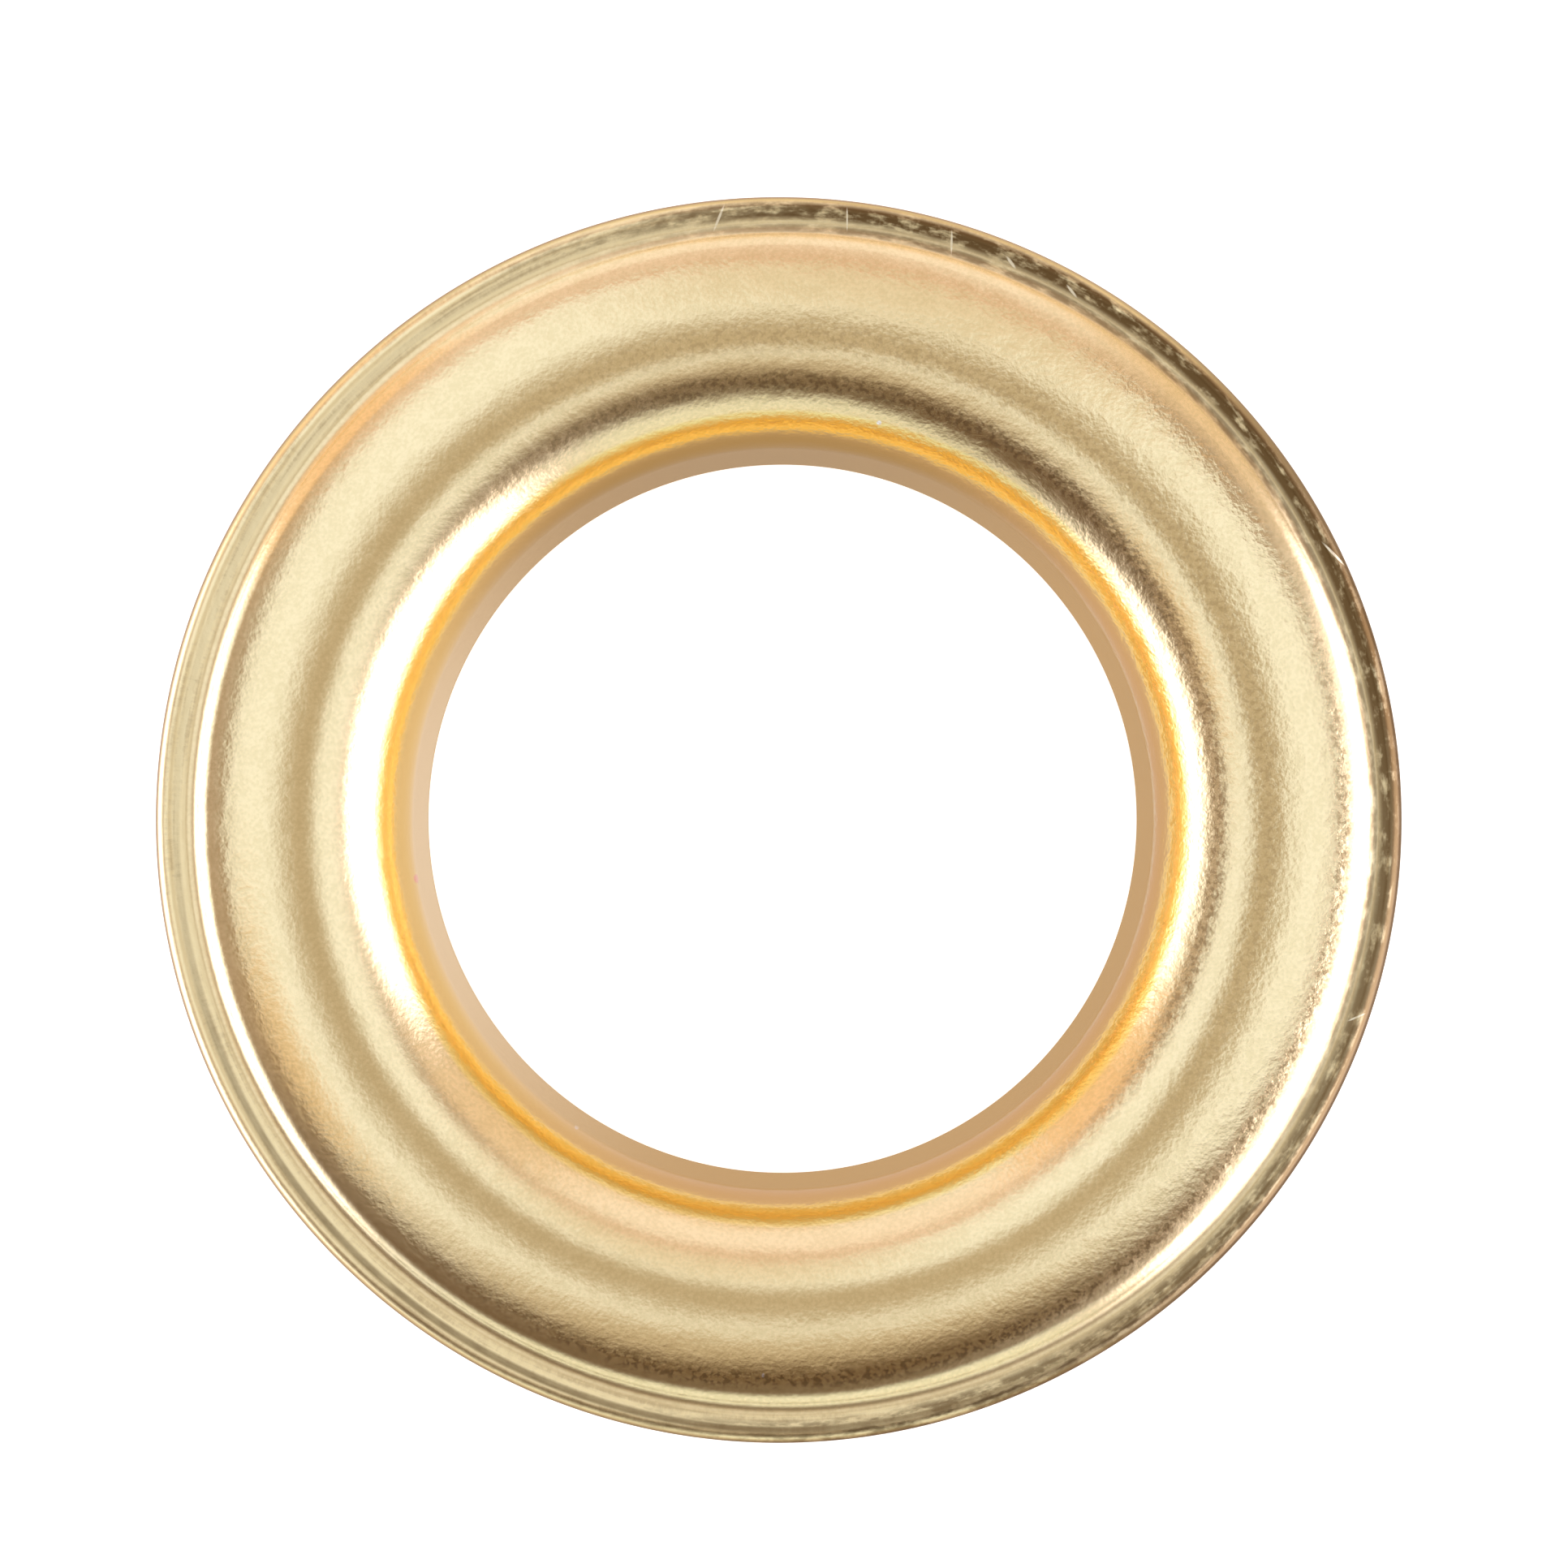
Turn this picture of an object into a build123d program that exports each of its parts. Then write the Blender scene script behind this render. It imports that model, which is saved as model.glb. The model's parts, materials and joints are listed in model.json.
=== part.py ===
from build123d import *
from math import cos, radians, sin
import os

# Grommet eyelet pressed from one piece of brass sheet: a barrel, a throat that turns out of it,
# a domed crown and a small trimmed lip. The barrel stands on z = 0 and the axis is Z.
# Lengths are in millimetres and angles in degrees.
bore_diameter = 12.0  # straight wall inside the barrel
overall_height = 6.5  # from the barrel's cut end to the top of the crown
sheet = 0.3  # thickness of the metal
flange_width = 4.0  # from the bore's wall out to the trimmed edge
throat_radius = 1.8  # show face of the bend from the bore up to the crown
crown_slope = 23.5  # how far the crown has tipped over where it meets the shoulder
shoulder_radius = 0.6  # tighter bend outside the crown
skirt_slope = 46.0  # steepest slope, where the shoulder runs into the crease
crease_radius = 0.27  # hollow between the shoulder and the lip
lip_width = 0.44  # from the bottom of the crease out to the trimmed edge
lip_rise = 10.0  # upward tilt of the lip towards its edge
lip_edge_round = 0.22  # roll of the trimmed edge on the show side
barrel_end_break = 0.08  # broken corners of the barrel's cut end

bore_radius = bore_diameter / 2
flange_radius = bore_radius + flange_width
crest_radius = bore_radius + throat_radius
barrel_straight = overall_height - throat_radius


def sine(angle):
    return sin(radians(angle))


def crown_radius():
    """Radius of the crown's arc, which fills what the other bends leave of the flange."""
    crease_start = flange_radius - lip_width - crease_radius * sine(skirt_slope)
    shoulder_run = shoulder_radius * (sine(skirt_slope) - sine(crown_slope))
    return (crease_start - crest_radius - shoulder_run) / sine(crown_slope)


def sheet_face(depth):
    """One face of the sheet from the barrel's end to the lip, at a depth under the show face."""
    foot = (bore_radius + depth, 0)
    barrel = Line(foot, (bore_radius + depth, barrel_straight))
    throat = JernArc(barrel @ 1, (0, 1), throat_radius - depth, -90)
    crown = JernArc(throat @ 1, throat % 1, crown_radius() - depth, -crown_slope)
    shoulder = JernArc(crown @ 1, crown % 1, shoulder_radius - depth, crown_slope - skirt_slope)
    crease = JernArc(shoulder @ 1, shoulder % 1, crease_radius + depth, skirt_slope + lip_rise)
    lip_run = flange_radius - (crease @ 1).X
    lip = PolarLine(crease @ 1, lip_run / cos(radians(lip_rise)), direction=crease % 1)
    return [barrel, throat, crown, shoulder, crease, lip]


def section():
    """The sheet's section, with its cut ends broken or rolled as the press leaves them."""
    show = sheet_face(0)
    back = sheet_face(sheet)
    barrel_end = Line(show[0] @ 0, back[0] @ 0)
    trimmed_edge = Line(show[-1] @ 1, back[-1] @ 1)
    outline = make_face(Curve() + show + back + [barrel_end, trimmed_edge])
    outline = chamfer(corners(outline, [barrel_end @ 0, barrel_end @ 1]), barrel_end_break)
    widest_round = 0.9 * sheet / (1 + sine(lip_rise))
    return fillet(corners(outline, [trimmed_edge @ 0]), min(lip_edge_round, widest_round))


def corners(outline, places):
    return [outline.vertices().sort_by_distance(place)[0] for place in places]


def eyelet():
    standing = Plane.XZ * section()
    return revolve(standing, Axis.Z, 360)


os.makedirs("parts", exist_ok=True)
export_step(eyelet(), "parts/eyelet.step")
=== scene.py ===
import bmesh
import bpy
import json
from math import atan2, cos, degrees, hypot, radians, sin, tan
from mathutils import Matrix, Vector


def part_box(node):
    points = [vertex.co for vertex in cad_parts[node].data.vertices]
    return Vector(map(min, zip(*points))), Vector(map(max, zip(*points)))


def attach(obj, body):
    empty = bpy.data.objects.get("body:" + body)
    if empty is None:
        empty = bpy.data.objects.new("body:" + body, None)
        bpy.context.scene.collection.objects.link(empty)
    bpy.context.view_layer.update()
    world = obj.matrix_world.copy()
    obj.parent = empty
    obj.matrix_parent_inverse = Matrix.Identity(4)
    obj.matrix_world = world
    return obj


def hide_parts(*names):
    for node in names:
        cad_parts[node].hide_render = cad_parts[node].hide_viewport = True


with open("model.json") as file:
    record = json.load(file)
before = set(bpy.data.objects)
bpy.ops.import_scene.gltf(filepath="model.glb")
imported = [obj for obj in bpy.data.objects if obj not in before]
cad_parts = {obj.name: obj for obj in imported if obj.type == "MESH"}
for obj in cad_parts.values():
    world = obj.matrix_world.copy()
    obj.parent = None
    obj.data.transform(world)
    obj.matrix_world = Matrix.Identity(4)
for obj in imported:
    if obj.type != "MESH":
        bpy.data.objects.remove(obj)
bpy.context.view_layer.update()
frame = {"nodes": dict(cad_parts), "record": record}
print("frame loaded:", sorted(frame["nodes"]))

mm = 0.001
white = (1.0, 1.0, 1.0, 1.0)
mounts = {mount["name"]: mount for mount in frame["record"]["mounts"]}
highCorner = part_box("eyelet")[1]
flangeRadius = highCorner.x
crestHeight = highCorner.z
boreRadius = mounts["bore"]["dims"]["r_mm"] * mm
sheet = mounts["barrel"]["dims"]["r_mm"] * mm - boreRadius


def sineOf(angle):
    return sin(radians(angle))


def cosineOf(angle):
    return cos(radians(angle))


class Wire:
    # a node's output; sums on it add Math nodes to the same tree
    def __init__(self, tree, socket=None):
        self.tree = tree
        self.socket = socket

    def node(self, kind, settings, inputs, output=0):
        made = self.tree.nodes.new(kind)
        for name, value in settings.items():
            setattr(made, name, value)
        for name, value in inputs.items():
            if isinstance(value, Wire):
                self.tree.links.new(value.socket, made.inputs[name])
            else:
                made.inputs[name].default_value = value
        return Wire(self.tree, made.outputs[output] if len(made.outputs) else None)

    def math(self, operation, first, second=0.0):
        return self.node("ShaderNodeMath", {"operation": operation}, {0: first, 1: second})

    def __add__(self, other):
        return self.math("ADD", self, other)

    def __sub__(self, other):
        return self.math("SUBTRACT", self, other)

    def __mul__(self, other):
        return self.math("MULTIPLY", self, other)

    def __truediv__(self, other):
        return self.math("DIVIDE", self, other)

    def __rsub__(self, other):
        return self.math("SUBTRACT", other, self)

    __radd__ = __add__
    __rmul__ = __mul__

    def step(self, low, high):
        # eases from 0 at low to 1 at high
        return self.node("ShaderNodeMapRange", {"interpolation_type": "SMOOTHSTEP"},
                         {"Value": self, "From Min": low, "From Max": high})

    def fade(self, low, high):
        # eases from 1 at low to 0 at high
        return 1 - self.step(low, high)

    def near(self, middle, half, soft):
        # 1 within half of the middle, easing to 0 over soft more
        return self.math("ABSOLUTE", self - middle).fade(half, half + soft)

    def oval(self, middle, halfSizes, turn, core=0.5):
        # self is the place; 1 in the core of an oval turned about Z, easing to 0 at its edge
        inside = self.node("ShaderNodeMapping", {"vector_type": "TEXTURE"}, {
            "Vector": self, "Location": middle, "Rotation": (0.0, 0.0, radians(turn)), "Scale": halfSizes})
        reach = self.node("ShaderNodeVectorMath", {"operation": "LENGTH"}, {0: inside}, 1)
        return reach.fade(core, 1.0)

    def mix(self, first, second):
        # self is the share of the second colour
        return self.node("ShaderNodeMix", {"data_type": "RGBA"}, {0: self, 6: first, 7: second}, 2)

    def noise(self, size, detail, roughness):
        # self is the place, a vector; size is that of the largest blotches
        return self.node("ShaderNodeTexNoise", {}, {
            "Vector": self, "Scale": 1 / size, "Detail": detail, "Roughness": roughness})

    def parts(self):
        split = self.node("ShaderNodeSeparateXYZ", {}, {"Vector": self})
        return [Wire(self.tree, socket) for socket in split.socket.node.outputs]

    def joined(self, x, y, z):
        return self.node("ShaderNodeCombineXYZ", {}, {"X": x, "Y": y, "Z": z})


def weighed(shares, *wires):
    return sum(wire * share for share, wire in zip(shares, wires))


def largest(mask, *others):
    for other in others:
        mask = mask.math("MAXIMUM", mask, other)
    return mask


def newMaterial(name):
    material = bpy.data.materials.new(name)
    material.use_nodes = True
    material.node_tree.nodes.clear()
    return material, Wire(material.node_tree)


def newPiece(name, mesh):
    data = bpy.data.meshes.new(name)
    mesh.to_mesh(data)
    mesh.free()
    piece = bpy.data.objects.new(name, data)
    bpy.context.scene.collection.objects.link(piece)
    return piece


# The eyelet's own form: one sheet drawn into a barrel, a throat, a crown and a trimmed lip
eyeletForm = {
    "throatRadius": 1.8 * mm,
    "crownSlope": 23.5,
    "shoulderRadius": 0.6 * mm,
    "skirtSlope": 46.0,
    "creaseRadius": 0.27 * mm,
    "lipWidth": 0.44 * mm,
    "lipRise": 10.0,
    "lipEdgeRound": 0.22 * mm,
    "lipUnderRound": 0.012 * mm,
    "barrelEndRound": 0.08 * mm,
    "trimShift": (-0.06 * mm, -0.02 * mm),  # the trimming die sat a little off the axis
    "trimLift": 0.018 * mm,  # and left the lip's edge this much higher on the left
    "trimBlend": 0.6,  # share of the lip over which both grow
    # facets along each run or bend of the section, and round an eighth of the eyelet
    "showSteps": {"barrel": 10, "throat": 34, "crown": 16, "shoulder": 12, "crease": 10, "lip": 4,
                  "roll": 12},
    "backSteps": {"corner": 2, "lip": 3, "crease": 8, "shoulder": 5, "crown": 8, "throat": 16, "barrel": 5},
    "endSteps": 4,
    "sectorSteps": 64,
    "weldReach": 0.002 * mm,
}


class SectionPen:
    # draws the sheet's section in the XZ plane, one straight or bend after another
    def __init__(self, mesh, start, heading):
        self.mesh = mesh
        self.vert = mesh.verts.new(start)
        self.heading = heading

    def run(self, length, steps=1):
        ahead = Vector((cosineOf(self.heading), 0, sineOf(self.heading)))
        for _ in range(steps):
            made = bmesh.ops.extrude_vert_indiv(self.mesh, verts=[self.vert])["verts"][0]
            made.co = self.vert.co + ahead * length / steps
            self.vert = made

    def bend(self, radius, turn, steps):
        # a positive turn is to the left
        left = Vector((-sineOf(self.heading), 0, cosineOf(self.heading)))
        centre = self.vert.co + left * radius * (1 if turn > 0 else -1)
        made = bmesh.ops.spin(self.mesh, geom=[self.vert], cent=centre, axis=(0, -1, 0),
                              angle=radians(turn), steps=steps, use_merge=False)
        self.vert = [part for part in made["geom_last"] if isinstance(part, bmesh.types.BMVert)][0]
        self.heading += turn


def barrelRun(form):
    return crestHeight - form["throatRadius"] - form["barrelEndRound"]


def crownRadius(form):
    # the crown's arc fills what the other bends leave of the flange
    skirtSine = sineOf(form["skirtSlope"])
    crownSine = sineOf(form["crownSlope"])
    creaseStart = flangeRadius - form["lipWidth"] - form["creaseRadius"] * skirtSine
    shoulderRun = form["shoulderRadius"] * (skirtSine - crownSine)
    return (creaseStart - boreRadius - form["throatRadius"] - shoulderRun) / crownSine


def drawShowFace(pen, form):
    # up the bore and out to the rolled edge; gives the foot of the lip
    steps = form["showSteps"]
    crownSlope, skirtSlope, lipRise = form["crownSlope"], form["skirtSlope"], form["lipRise"]
    pen.run(barrelRun(form), steps["barrel"])
    pen.bend(form["throatRadius"], -90, steps["throat"])
    pen.bend(crownRadius(form), -crownSlope, steps["crown"])
    pen.bend(form["shoulderRadius"], crownSlope - skirtSlope, steps["shoulder"])
    pen.bend(form["creaseRadius"], skirtSlope + lipRise, steps["crease"])
    lipFoot = pen.vert.co.copy()
    rollStart = flangeRadius - form["lipEdgeRound"] * (1 + sineOf(lipRise))
    pen.run((rollStart - lipFoot.x) / cosineOf(lipRise), steps["lip"])
    pen.bend(form["lipEdgeRound"], -90 - lipRise, steps["roll"])
    return lipFoot


def drawBackFace(pen, form, lipFoot):
    # down the trimmed edge and back to the barrel's end, one sheet under the show face
    steps = form["backSteps"]
    crownSlope, skirtSlope, lipRise = form["crownSlope"], form["skirtSlope"], form["lipRise"]
    faceAtEdge = lipFoot.z + (flangeRadius - lipFoot.x) * tan(radians(lipRise))
    underAtEdge = faceAtEdge - sheet / cosineOf(lipRise)
    cornerDrop = form["lipUnderRound"] * (1 - sineOf(lipRise)) / cosineOf(lipRise)
    pen.run(pen.vert.co.z - underAtEdge - cornerDrop)
    pen.bend(form["lipUnderRound"], lipRise - 90, steps["corner"])
    backFoot = lipFoot.x + sheet * sineOf(lipRise)
    pen.run((pen.vert.co.x - backFoot) / cosineOf(lipRise), steps["lip"])
    pen.bend(form["creaseRadius"] + sheet, -skirtSlope - lipRise, steps["crease"])
    pen.bend(form["shoulderRadius"] - sheet, skirtSlope - crownSlope, steps["shoulder"])
    pen.bend(crownRadius(form) - sheet, crownSlope, steps["crown"])
    pen.bend(form["throatRadius"] - sheet, 90, steps["throat"])
    pen.run(barrelRun(form), steps["barrel"])


def drawBarrelEnd(pen, form):
    pen.bend(form["barrelEndRound"], -90, form["endSteps"])
    pen.run(sheet - 2 * form["barrelEndRound"])
    pen.bend(form["barrelEndRound"], -90, form["endSteps"])


def turnSection(mesh, form):
    # an eighth is spun, then copied and turned into a quarter, a half and the whole
    section = mesh.verts[:] + mesh.edges[:]
    bmesh.ops.spin(mesh, geom=section, cent=(0, 0, 0), axis=(0, 0, 1), angle=radians(45),
                   steps=form["sectorSteps"], use_merge=False)
    for angle in (45, 90, 180):
        copied = bmesh.ops.duplicate(mesh, geom=mesh.verts[:] + mesh.edges[:] + mesh.faces[:])["geom"]
        verts = [part for part in copied if isinstance(part, bmesh.types.BMVert)]
        turn = Matrix.Rotation(radians(angle), 3, "Z")
        bmesh.ops.rotate(mesh, verts=verts, cent=(0, 0, 0), matrix=turn)


def shiftTrim(mesh, form):
    # moves the lip's edge off the axis and lifts its left, and leaves the dome where it is
    lipStart = flangeRadius - form["lipWidth"]
    for vert in mesh.verts:
        share = (hypot(vert.co.x, vert.co.y) - lipStart) / (form["trimBlend"] * form["lipWidth"])
        share = min(max(share, 0.0), 1.0)
        leftShare = 0.5 - 0.5 * vert.co.x / flangeRadius
        vert.co.z += form["trimLift"] * share * leftShare
        vert.co.x += form["trimShift"][0] * share
        vert.co.y += form["trimShift"][1] * share


def buildEyelet(form):
    mesh = bmesh.new()
    pen = SectionPen(mesh, (boreRadius, 0, form["barrelEndRound"]), 90)
    lipFoot = drawShowFace(pen, form)
    drawBackFace(pen, form, lipFoot)
    drawBarrelEnd(pen, form)
    bmesh.ops.remove_doubles(mesh, verts=mesh.verts[:], dist=form["weldReach"])
    turnSection(mesh, form)
    bmesh.ops.remove_doubles(mesh, verts=mesh.verts[:], dist=form["weldReach"])
    bmesh.ops.recalc_face_normals(mesh, faces=mesh.faces[:])
    shiftTrim(mesh, form)
    for face in mesh.faces:
        face.smooth = True
    unjoined = [edge for edge in mesh.edges if len(edge.link_faces) != 2]
    print("eyelet: faces", len(mesh.faces), "open edges", len(unjoined), "volume mm3",
          round(mesh.calc_volume(signed=True) / mm ** 3, 2))
    return newPiece("brassEyelet", mesh)


# In the brass's settings a band is its middle, half its width and its soft edge. A side is the
# degrees round that it lies towards, and the two cosines between which it eases in. A noise is its
# size, detail and roughness. Shares weigh noises in the order in which the code takes them.
brassLook = {
    "metal": (0.97, 0.77, 0.42, 1.0),
    "dullMetal": (0.89, 0.70, 0.365, 1.0),
    "mottleShares": (0.65, 0.35),
    "mottleSteps": (0.36, 0.64),
    "roughness": 0.2,
    "roughnessChange": {"throat": 0.05, "foot": -0.07, "skirt": 0.05, "crease": 0.08, "drawn": 0.16},

    # satin grain, over a slow swell
    "grainNoise": (0.065 * mm, 2.0, 0.5),
    "grainDepth": 0.0027 * mm,
    "swellNoise": (0.3 * mm, 2.0, 0.5),
    "swellDepth": 0.006 * mm,
    "grainSide": (20.0, 0.0, 0.9),  # both are deeper towards here
    "grainGain": 0.8,
    "skirtCalm": 0.35,  # and shallower on the skirt

    # the throat, out from the bore's wall
    # painted shade: the bore's wall is coloured darker and deeper, for the shade inside the bore
    "boreShade": (0.88, 0.66, 0.285, 1.0),
    "boreEnd": (0.1 * mm, 0.35 * mm),
    "footEnd": (0.25 * mm, 0.6 * mm),
    "throatEnd": (1.2 * mm, 1.7 * mm),
    "ringReflectionTint": (1.0, 0.82, 0.35, 1.0),  # painted reflection: a deeper gold at the foot of the throat, for the metal reflected in the opposite wall
    "ringBand": (0.46 * mm, 0.04 * mm, 0.08 * mm),

    # the barrel's outside, as it left the drawing die, out from the bore's wall and up to its top
    "drawnMetal": (0.66, 0.505, 0.30, 1.0),
    "drawnDull": (0.56, 0.42, 0.24, 1.0),
    "drawnShares": (0.7, 0.3),
    "drawnSteps": (0.35, 0.65),
    "drawnStart": (0.1 * mm, 0.2 * mm),
    "drawnTop": (4.7 * mm, 5.0 * mm),
    "drawNoise": (0.08 * mm, 3.0, 0.6),
    "drawStretch": 0.04,  # of a height, so that the marks stand long and upright
    "drawDepth": 0.003 * mm,

    # the skirt, the crease and the lip, in from the flange's rim
    "skirtStart": (0.9 * mm, 1.05 * mm),
    "creaseStart": (0.56 * mm, 0.63 * mm),
    "lipStart": (0.40 * mm, 0.46 * mm),
    "lipMetal": (1.0, 0.81, 0.435, 1.0),
    "lipDull": (0.70, 0.53, 0.27, 1.0),
    "lipShares": (0.7, 0.3, -0.09),
    "lipSteps": (0.36, 0.6),
    "rubNoise": (0.09 * mm, 2.0, 0.5),
    "rubWrap": 0.4 * mm,  # the tighter a noise is wrapped, the longer its marks run round
    "markNoise": (0.09 * mm, 3.0, 0.7),
    "markStretch": 0.5,
    "rubDepth": 0.0024 * mm,
    "cutMetal": (0.60, 0.47, 0.30, 1.0),
    "cutStart": (0.042 * mm, 0.091 * mm),  # in from the trimmed edge, as are the stains and the painted shade on the rim
    "scrape": (1.0, 0.86, 0.58, 1.0),  # clean metal in a scratch
    "scrapeShare": 0.8,

    # dark stains, and painted shade: the rim darker towards one side and its edge dark on a side
    "stainAndShade": (0.16, 0.092, 0.033, 1.0),
    "streakNoise": (0.15 * mm, 3.0, 0.62),
    "streakWrap": 3.5 * mm,
    "shadeSide": 5.0,  # degrees; painted shade: the rim and the lip are darkest towards here, for a dark reflection on this side
    "shadeDirtShares": (1.0, 0.8),
    "shadeDirtSteps": (-0.15, 0.7),
    "patchShares": (0.8, 0.2, 0.06, -0.05),
    "patchSteps": (0.31, 0.55),
    "lighterSide": (300.0, 0.2, 0.9),  # the stain and the painted shade on the rim are thinner here
    "lighterShare": 0.2,
    "rimBand": (0.17 * mm, 0.13 * mm, 0.14 * mm),
    "edgeClearSide": (90.0, 0.3, 0.85),  # the stain and the painted shade stop short of the edge here
    "edgeClearReach": (0.048 * mm, 0.156 * mm),
    "edgeShadeSide": (350.0, 0.3, 0.85),  # and here the edge is painted dark all along, painted shade over its highlight
    "edgeShadeReach": (0.096 * mm, 0.156 * mm),
    "edgeShadeShare": 0.85,
    "creaseSide": (35.0, 0.0, 0.8),
    "creaseBand": (0.53 * mm, 0.04 * mm, 0.06 * mm),
    "creaseSteps": (0.2, 0.6),
    "creaseShare": 0.75,
    "lineBand": (0.27 * mm, 0.025 * mm, 0.06 * mm),
    "lineSwaySide": 150.0,  # degrees; the trim line lies further in towards here
    "lineSway": 0.08 * mm,
    "lineSide": (250.0, 0.2, 1.0),
    "lineLeast": 0.09,
    "lineGain": 0.36,

    # dark spots on the skirt, in the throat and on the crown: on the skirt and in the throat painted
    # reflection, dark reflections broken up by the grain; on the crown tarnish. Band out from the bore's
    # wall, side and share
    "tarnishAndDarkReflection": (0.38, 0.25, 0.105, 1.0),
    "spotNoise": (0.1 * mm, 2.0, 0.6),
    "spotSteps": (0.46, 0.62),
    "spotBands": [
        ((2.98 * mm, 0.07 * mm, 0.12 * mm), (310.0, 0.0, 0.7), 0.65),
        ((0.99 * mm, 0.08 * mm, 0.12 * mm), (40.0, -0.3, 0.6), 0.52),
        ((1.7 * mm, 0.12 * mm, 0.3 * mm), (45.0, -0.4, 0.8), 0.26),
    ],

    # scratches on the show face: degrees round and mm out at both ends, and half the width in mm
    "scratches": [
        (95.3, 9.92, 96.8, 9.45, 0.026),
        (84.0, 9.88, 83.7, 9.44, 0.018),
        (74.0, 9.84, 73.3, 9.41, 0.022),
        (68.4, 9.71, 66.9, 9.56, 0.03),
        (62.1, 9.70, 60.4, 9.58, 0.026),
        (27.4, 9.70, 24.0, 9.90, 0.026),
        (341.6, 9.86, 340.2, 9.60, 0.02),
    ],
    "scratchHeight": 1.0,  # far more than the eyelet's, so that a scratch shows at any height

    # specks of dust: degrees round, mm out and up, half the width and half the height in mm, colour
    "specks": [
        (76.3, 6.53, 5.98, 0.05, 0.08, (0.98, 0.94, 0.90, 1.0)),
        (268.0, 8.90, 6.33, 0.03, 0.1, (0.98, 0.94, 0.90, 1.0)),
        (189.3, 6.01, 4.85, 0.09, 0.45, (0.90, 0.42, 0.36, 1.0)),
        (236.3, 6.01, 4.85, 0.05, 0.30, (0.98, 0.90, 0.84, 1.0)),
    ],
    "speckDepth": 0.05 * mm,
}


class SheetPlace:
    # where a point of the metal lies: round the axis, out from it, and in from the edges
    def __init__(self, tree, trimShift):
        self.tree = tree
        self.point = tree.node("ShaderNodeTexCoord", {}, {}, "Object")
        x, y, self.height = self.point.parts()
        tiny = 0.00001 * mm  # so that nothing is divided by zero
        self.fromAxis = self.lengthOf(x, y) + tiny
        self.alongX = x / self.fromAxis
        self.alongY = y / self.fromAxis
        self.fromBore = self.fromAxis - boreRadius
        self.fromRim = flangeRadius - self.fromAxis
        self.fromTrim = flangeRadius - self.lengthOf(x - trimShift[0], y - trimShift[1])

    def lengthOf(self, x, y):
        return self.tree.math("SQRT", x * x + y * y)

    def facing(self, angle):
        # cosine of how far round the point lies from this angle
        return self.alongX * cosineOf(angle) + self.alongY * sineOf(angle)

    def side(self, angle, low, high):
        return self.facing(angle).step(low, high)

    def noiseRound(self, wrapRadius, across, noise):
        # wrapped on a cylinder, so that it has no seam
        wrapped = self.tree.joined(self.alongX * wrapRadius, self.alongY * wrapRadius, across)
        return wrapped.noise(*noise)


def metalNoises(place, look):
    return {
        "grain": place.point.noise(*look["grainNoise"]),
        "swell": place.point.noise(*look["swellNoise"]),
        "spots": place.point.noise(*look["spotNoise"]),
        "rubs": place.noiseRound(look["rubWrap"], place.fromAxis, look["rubNoise"]),
        "streaks": place.noiseRound(look["streakWrap"], place.fromAxis, look["streakNoise"]),
        "marks": place.noiseRound(flangeRadius, place.fromAxis * look["markStretch"], look["markNoise"]),
        "draws": place.noiseRound(boreRadius, place.height * look["drawStretch"], look["drawNoise"]),
    }


def metalZones(place, look):
    # masks of the sheet's parts
    return {
        "bore": place.fromBore.fade(*look["boreEnd"]),
        "foot": place.fromBore.fade(*look["footEnd"]),
        "throat": place.fromBore.fade(*look["throatEnd"]),
        "ring": place.fromBore.near(*look["ringBand"]),
        "drawn": place.fromBore.step(*look["drawnStart"]) * place.height.fade(*look["drawnTop"]),
        "skirt": place.fromRim.fade(*look["skirtStart"]),
        "crease": place.fromRim.fade(*look["creaseStart"]),
        "lip": place.fromRim.fade(*look["lipStart"]),
        "cut": place.fromTrim.fade(*look["cutStart"]),
    }


def tarnishAndReflectionSpots(place, noises, look):
    spotted = largest(*[place.fromBore.near(*band) * place.side(*side) * share
                        for band, side, share in look["spotBands"]])
    return noises["spots"].step(*look["spotSteps"]) * spotted


def lipStainsAndShade(place, noises, look):
    # dirt in streaks along the rim and in the crease and a trim line; painted shade darkens the rim towards
    # one side, and the edge all along on a side
    streaks = noises["streaks"]
    towardsShade = place.facing(look["shadeSide"])
    # painted shade towards the shaded side, mixed with dirt in streaks
    shadeAndDirt = weighed(look["shadeDirtShares"], towardsShade, streaks).step(*look["shadeDirtSteps"])
    lighterHere = place.side(*look["lighterSide"])
    patches = weighed(look["patchShares"], streaks, noises["marks"], towardsShade, lighterHere)
    edgeClear = place.side(*look["edgeClearSide"]) * place.fromTrim.fade(*look["edgeClearReach"])
    onRim = place.fromTrim.near(*look["rimBand"]) * patches.step(*look["patchSteps"])
    onRim = onRim * shadeAndDirt * (1 - edgeClear) * (1 - lighterHere * look["lighterShare"])

    onCrease = place.fromRim.near(*look["creaseBand"]) * place.side(*look["creaseSide"])
    onCrease = onCrease * streaks.step(*look["creaseSteps"]) * look["creaseShare"]

    sway = place.facing(look["lineSwaySide"]) * look["lineSway"]
    clearness = place.side(*look["lineSide"]) * look["lineGain"] + look["lineLeast"]
    onLine = (place.fromTrim - sway).near(*look["lineBand"]) * clearness * (streaks + 1)

    # painted shade: the edge dark all along on one side
    paintedEdgeShade = place.fromTrim.fade(*look["edgeShadeReach"]) * place.side(*look["edgeShadeSide"]) * look["edgeShadeShare"]
    return largest(onRim, onCrease, onLine, paintedEdgeShade)


def polarPlace(around, out, height=0.0):
    return Vector((out * cosineOf(around), out * sineOf(around), height)) * mm


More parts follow.
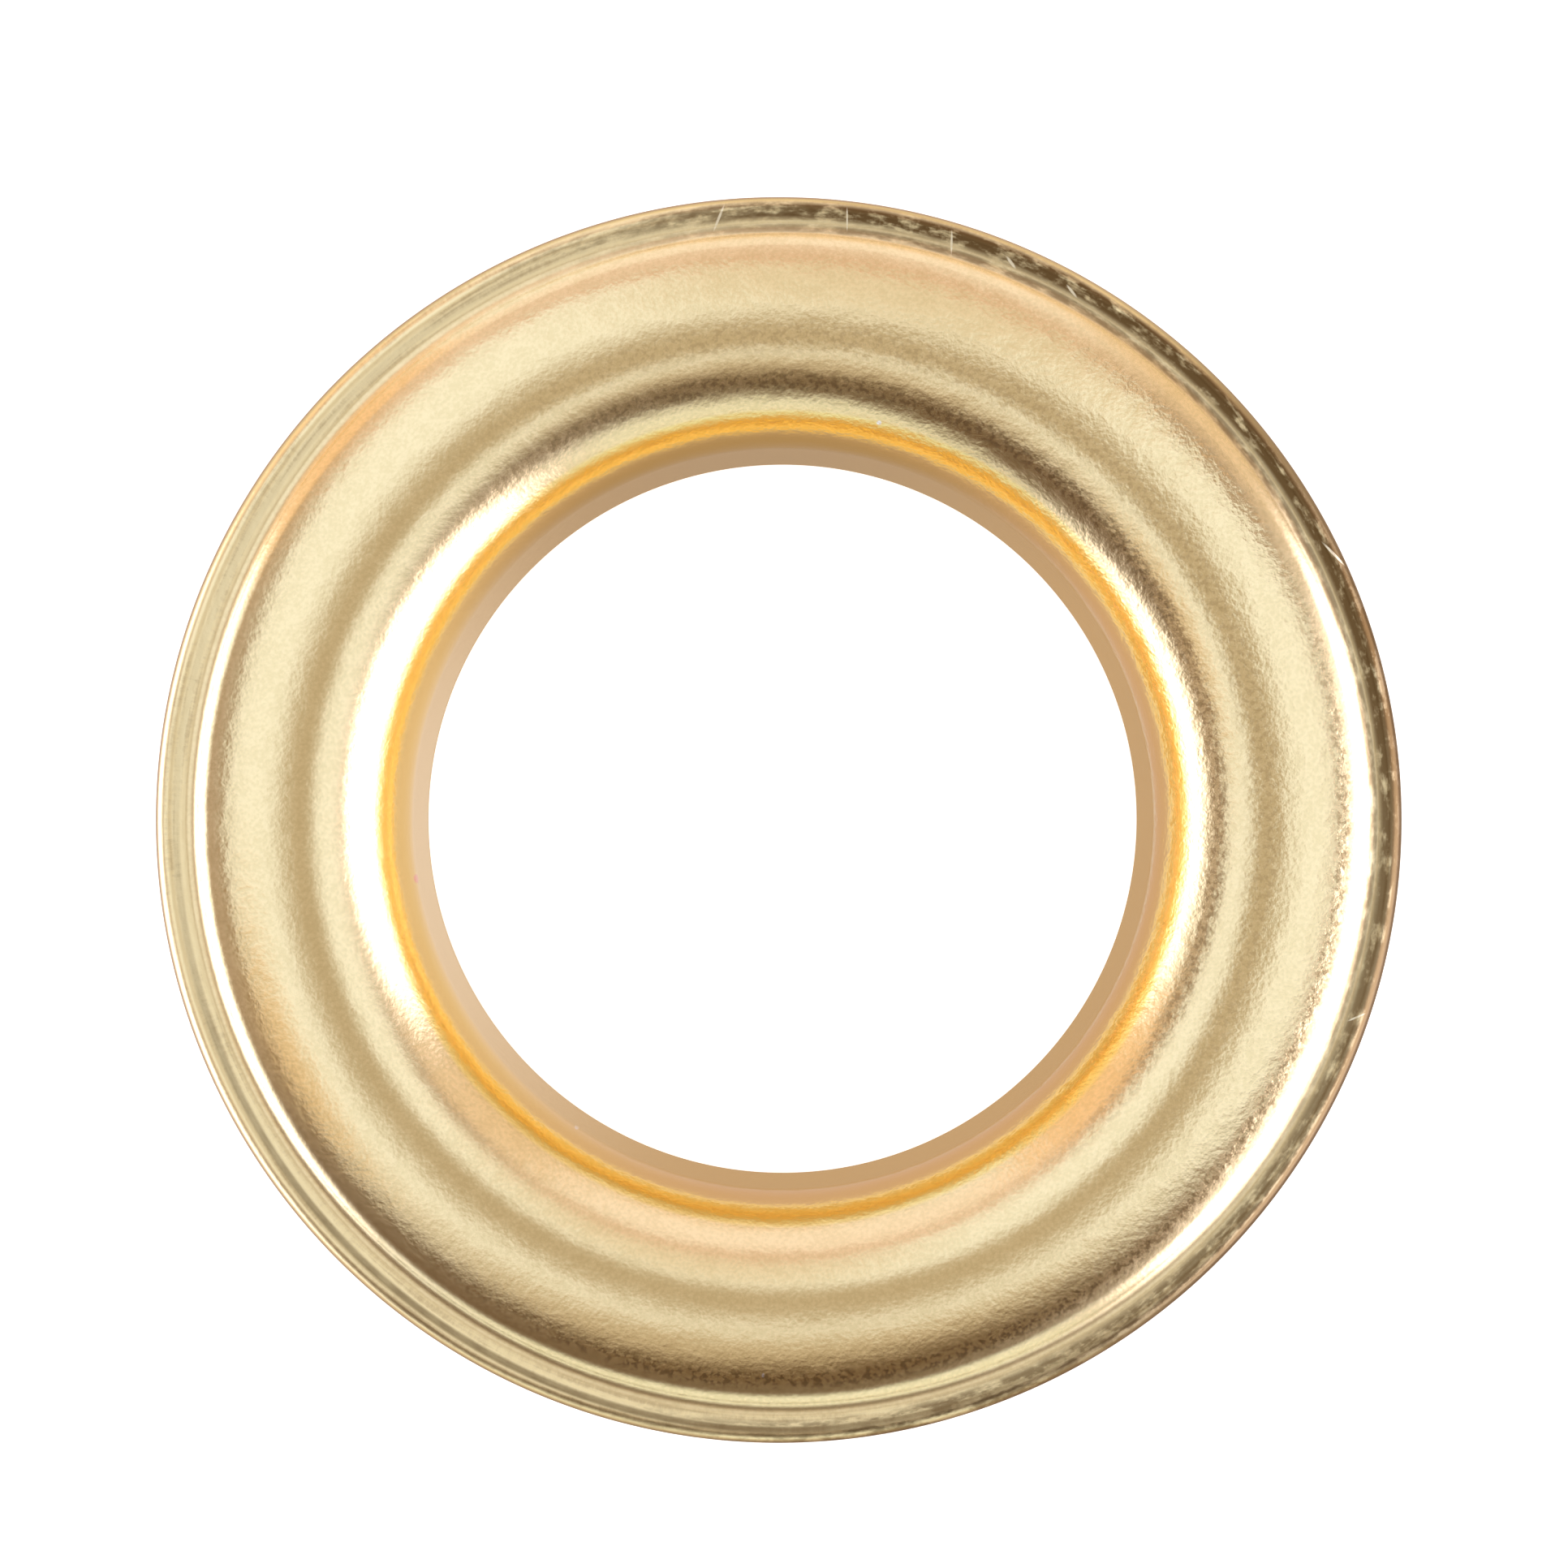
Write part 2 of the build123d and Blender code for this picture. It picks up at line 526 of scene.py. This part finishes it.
def scratchMask(point, look):
    masks = []
    for startAround, startOut, endAround, endOut, halfWidth in look["scratches"]:
        start = polarPlace(startAround, startOut)
        end = polarPlace(endAround, endOut)
        way = end - start
        halfSizes = (way.length / 2, halfWidth * mm, look["scratchHeight"])
        masks.append(point.oval((start + end) / 2, halfSizes, degrees(atan2(way.y, way.x))))
    return sum(masks) * look["scrapeShare"]


def withDust(point, colour, look):
    for around, out, height, halfWidth, halfHeight, dust in look["specks"]:
        halfSizes = (look["speckDepth"], halfWidth * mm, halfHeight * mm)
        colour = point.oval(polarPlace(around, out, height), halfSizes, around).mix(colour, dust)
    return colour


def brassColour(place, zones, noises, look):
    towardsShade = place.facing(look["shadeSide"])
    mottle = weighed(look["mottleShares"], noises["grain"], noises["swell"])
    drawn = weighed(look["drawnShares"], noises["draws"], noises["swell"])
    drawn = drawn.step(*look["drawnSteps"]).mix(look["drawnDull"], look["drawnMetal"])
    # painted shade: the lip's colour is a little duller towards the shaded side
    rubbed = weighed(look["lipShares"], noises["rubs"], noises["marks"], towardsShade)
    rubbed = rubbed.step(*look["lipSteps"]).mix(look["lipDull"], look["lipMetal"])

    colour = mottle.step(*look["mottleSteps"]).mix(look["dullMetal"], look["metal"])
    # painted shade inside the bore
    colour = zones["bore"].mix(colour, look["boreShade"])
    # painted reflection: the deeper gold ring at the foot of the throat
    colour = zones["ring"].mix(colour, look["ringReflectionTint"])
    colour = zones["drawn"].mix(colour, drawn)
    # dark spots: painted reflection on the skirt and in the throat, tarnish on the crown
    colour = tarnishAndReflectionSpots(place, noises, look).mix(colour, look["tarnishAndDarkReflection"])
    colour = zones["lip"].mix(colour, rubbed)
    colour = zones["cut"].mix(colour, look["cutMetal"])
    # stains, with painted shade darkening the rim towards one side and its edge
    colour = lipStainsAndShade(place, noises, look).mix(colour, look["stainAndShade"])
    colour = scratchMask(place.point, look).mix(colour, look["scrape"])
    return withDust(place.point, colour, look)


def brassRoughness(zones, look):
    changes = look["roughnessChange"]
    return look["roughness"] + weighed(changes.values(), *[zones[name] for name in changes])


def brassHeight(place, zones, noises, look):
    # the grain and the swell everywhere, rubbed lines and tool marks on the lip, draw marks outside
    deeper = 1 + place.side(*look["grainSide"]) * (look["grainGain"] - zones["skirt"])
    deeper = deeper - zones["skirt"] * look["skirtCalm"]
    satin = (noises["grain"] - 0.5) * look["grainDepth"] + (noises["swell"] - 0.5) * look["swellDepth"]
    rubbed = zones["lip"] * (noises["marks"] + noises["rubs"]) * look["rubDepth"]
    drawn = zones["drawn"] * (noises["draws"] - 0.5) * look["drawDepth"]
    return satin * deeper + rubbed + drawn


def brassMaterial(look, form):
    material, tree = newMaterial("satinBrass")
    place = SheetPlace(tree, form["trimShift"])
    noises = metalNoises(place, look)
    zones = metalZones(place, look)
    relief = tree.node("ShaderNodeBump", {}, {
        "Strength": 1.0, "Distance": 1.0, "Height": brassHeight(place, zones, noises, look)})
    shader = tree.node("ShaderNodeBsdfPrincipled", {}, {
        "Base Color": brassColour(place, zones, noises, look), "Metallic": 1.0,
        "Roughness": brassRoughness(zones, look), "Normal": relief})
    tree.node("ShaderNodeOutputMaterial", {}, {"Surface": shader})
    return material


eyelet = buildEyelet(eyeletForm)
eyelet.data.materials.append(brassMaterial(brassLook, eyeletForm))
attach(eyelet, "root")
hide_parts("eyelet")
print("eyelet finished")


# A light tent that only the polished metal sees. Each of its patches is an oval, or a card with
# round corners where its squareness is over 2, as the metal sees it: degrees round from +X towards
# +Y and down from straight overhead, half sizes both ways, slant, squareness, softness of the edge
# and light. Later patches lie over earlier ones.
tentSetup = {
    "radius": 0.4,
    "segments": (64, 32),
    "light": (1.05, 1.165, 1.41),
    "patches": {
        "topHaze": (77, 34, 28, 16, 0.0, 2, 0.35, (0.84, 0.81, 0.82)),
        "creamCard": (92, 67, 56, 14, 0.0, 2, 0.2, (1.07, 1.02, 1.16)),
        "peachFoot": (70, 92, 42, 12, 0.0, 2, 0.3, (1.0, 0.80, 0.68)),
        "orangeCard": (140, 72, 15, 24, 0.0, 3, 0.2, (1.02, 0.73, 0.53)),
        "salmonEdge": (98, 48.5, 56, 4.5, 0.08, 3, 0.3, (0.74, 0.50, 0.43)),
        "tanPost": (42, 72, 16, 30, 0.0, 3, 0.2, (0.86, 0.70, 0.60)),
        "postHead": (38, 45, 14, 5, 0.0, 2, 0.35, (0.30, 0.19, 0.13)),
        "shelfShade": (270, 34, 42, 13, 0.0, 2, 0.45, (0.62, 0.55, 0.48)),
        "warmSpot": (206, 36, 13, 8, 0.0, 2, 0.6, (0.84, 0.65, 0.46)),
        "goldShelf": (186, 52.5, 42, 9, 0.0, 3, 0.3, (0.30, 0.185, 0.09)),
        "paleFront": (272, 83, 37, 22, 0.0, 2, 0.2, (0.98, 1.07, 1.15)),
        "brownShelf": (318, 46, 20, 6.5, 0.0, 2, 0.4, (0.30, 0.21, 0.15)),
        "darkShelf": (272, 50.5, 50, 15, -0.12, 2, 0.45, (0.135, 0.082, 0.042)),
        "darkCorner": (231, 58.5, 26, 18, 0.0, 2, 0.4, (0.125, 0.068, 0.03)),
        "farWalls": (0, 107, 400, 12, 0.0, 2, 0.15, (1.34, 1.22, 0.80)),
        "rightRim": (-12, 77, 46, 36, 0.0, 3, 0.1, (0.26, 0.18, 0.115)),
        "rightBox": (-12, 77, 40.5, 28.5, 0.0, 2.8, 0.06, (3.1, 3.1, 3.9)),
        "leftBox": (188, 86.5, 34.5, 19, 0.0, 2, 0.1, (3.1, 3.1, 3.9)),
        "wallFoot": (0, 139, 400, 22, 0.0, 2, 0.08, (0.72, 0.54, 0.50)),
        "underside": (0, 172, 400, 12, 0.0, 2, 0.1, (0.60, 0.41, 0.235)),
        "undersideGlow": (5, 150, 50, 40, 0.0, 2, 0.6, (0.90, 0.75, 0.62)),
        "undersideDark": (275, 150, 45, 40, 0.0, 2, 0.6, (0.48, 0.36, 0.26)),
        "cameraShade": (0, 3, 400, 12, 0.0, 2, 0.5, (0.53, 0.465, 0.39)),
    },
}


def tentMaterial(setup):
    material, tree = newMaterial("lightTent")
    place = tree.node("ShaderNodeTexCoord", {}, {}, "Object")
    x, y, z = tree.node("ShaderNodeVectorMath", {"operation": "NORMALIZE"}, {0: place}).parts()
    around = tree.math("ARCTAN2", y, x) * degrees(1)
    fromTop = tree.math("ARCCOSINE", z) * degrees(1)
    light = (*setup["light"], 1.0)
    for middle, down, halfRound, halfDown, slant, squareness, soft, colour in setup["patches"].values():
        # across runs from -180 to 180 degrees, with 0 at the patch's middle
        across = tree.node("ShaderNodeMath", {"operation": "WRAP"},
                           {0: around - middle, 1: 180.0, 2: -180.0})
        sideways = tree.math("ABSOLUTE", across / halfRound)
        upright = tree.math("ABSOLUTE", (fromTop - down - across * slant) / halfDown)
        powers = tree.math("POWER", sideways, squareness) + tree.math("POWER", upright, squareness)
        reach = tree.math("POWER", powers, 1 / squareness)
        light = reach.fade(1 - soft, 1 + soft).mix(light, (*colour, 1.0))
    glow = tree.node("ShaderNodeEmission", {}, {"Color": light, "Strength": 1.0})
    tree.node("ShaderNodeOutputMaterial", {}, {"Surface": glow})
    material.cycles.emission_sampling = "NONE"
    return material


def buildTent(setup):
    mesh = bmesh.new()
    segmentsRound, segmentsDown = setup["segments"]
    bmesh.ops.create_uvsphere(mesh, u_segments=segmentsRound, v_segments=segmentsDown,
                              radius=setup["radius"])
    tent = newPiece("lightTent", mesh)
    tent.data.materials.append(tentMaterial(setup))
    tent.visible_camera = False
    tent.visible_diffuse = False
    tent.visible_shadow = False


# Bright paper, a little overexposed
floorSetup = {
    "size": 3.0,
    "colour": (0.75, 0.75, 0.75, 1.0),
    "roughness": 0.9,
    "glow": 0.75,
}


def floorMaterial(setup):
    material, tree = newMaterial("paleFloor")
    shader = tree.node("ShaderNodeBsdfPrincipled", {}, {
        "Base Color": setup["colour"], "Roughness": setup["roughness"], "Specular IOR Level": 0.0,
        "Emission Color": white, "Emission Strength": setup["glow"]})
    tree.node("ShaderNodeOutputMaterial", {}, {"Surface": shader})
    material.cycles.emission_sampling = "NONE"
    return material


def buildFloor(setup):
    mesh = bmesh.new()
    bmesh.ops.create_grid(mesh, x_segments=1, y_segments=1, size=setup["size"] / 2)
    floor = newPiece("paleFloor", mesh)
    floor.data.materials.append(floorMaterial(setup))
    floor.visible_glossy = False  # the metal sees the tent's lower half instead


def lightRoom():
    # plain white light from all round
    world = bpy.data.worlds.new("paleRoom")
    bpy.context.scene.world = world
    world.use_nodes = True
    world.node_tree.nodes.clear()
    tree = Wire(world.node_tree)
    glow = tree.node("ShaderNodeBackground", {}, {"Color": white, "Strength": 1.0})
    tree.node("ShaderNodeOutputWorld", {}, {"Surface": glow})


buildTent(tentSetup)
buildFloor(floorSetup)
lightRoom()
print("stage built")


# The camera looks straight down the bore; the frame is the photograph's 1932 pixels
photoView = {
    "framePixels": 1932,
    "flangePixels": 1537,  # across the flange
    "axisAt": (964.2, 1008.8),  # pixel that the bore's axis falls on
    "lipDepth": 0.55 * mm,  # the lip lies this far below the top of the crown
    "distance": 102 * mm,  # from the top of the crown to the lens
    "sensorWidth": 36,  # millimetres, as the lens is
    "clip": (0.01, 10),
}


def placeCamera(view):
    data = bpy.data.cameras.new("photoCamera")
    camera = bpy.data.objects.new("photoCamera", data)
    bpy.context.scene.collection.objects.link(camera)
    pixel = 2 * flangeRadius / view["flangePixels"]
    frameWidth = pixel * view["framePixels"]
    data.sensor_width = view["sensorWidth"]
    data.lens = data.sensor_width * (view["distance"] + view["lipDepth"]) / frameWidth
    middle = view["framePixels"] / 2
    data.shift_x = (middle - view["axisAt"][0]) / view["framePixels"]
    data.shift_y = (view["axisAt"][1] - middle) / view["framePixels"]
    data.clip_start, data.clip_end = view["clip"]
    camera.location = (0, 0, crestHeight + view["distance"])
    bpy.context.scene.camera = camera


placeCamera(photoView)
bpy.context.scene.view_settings.view_transform = "Standard"
bpy.context.scene.view_settings.look = "None"
print("camera placed")
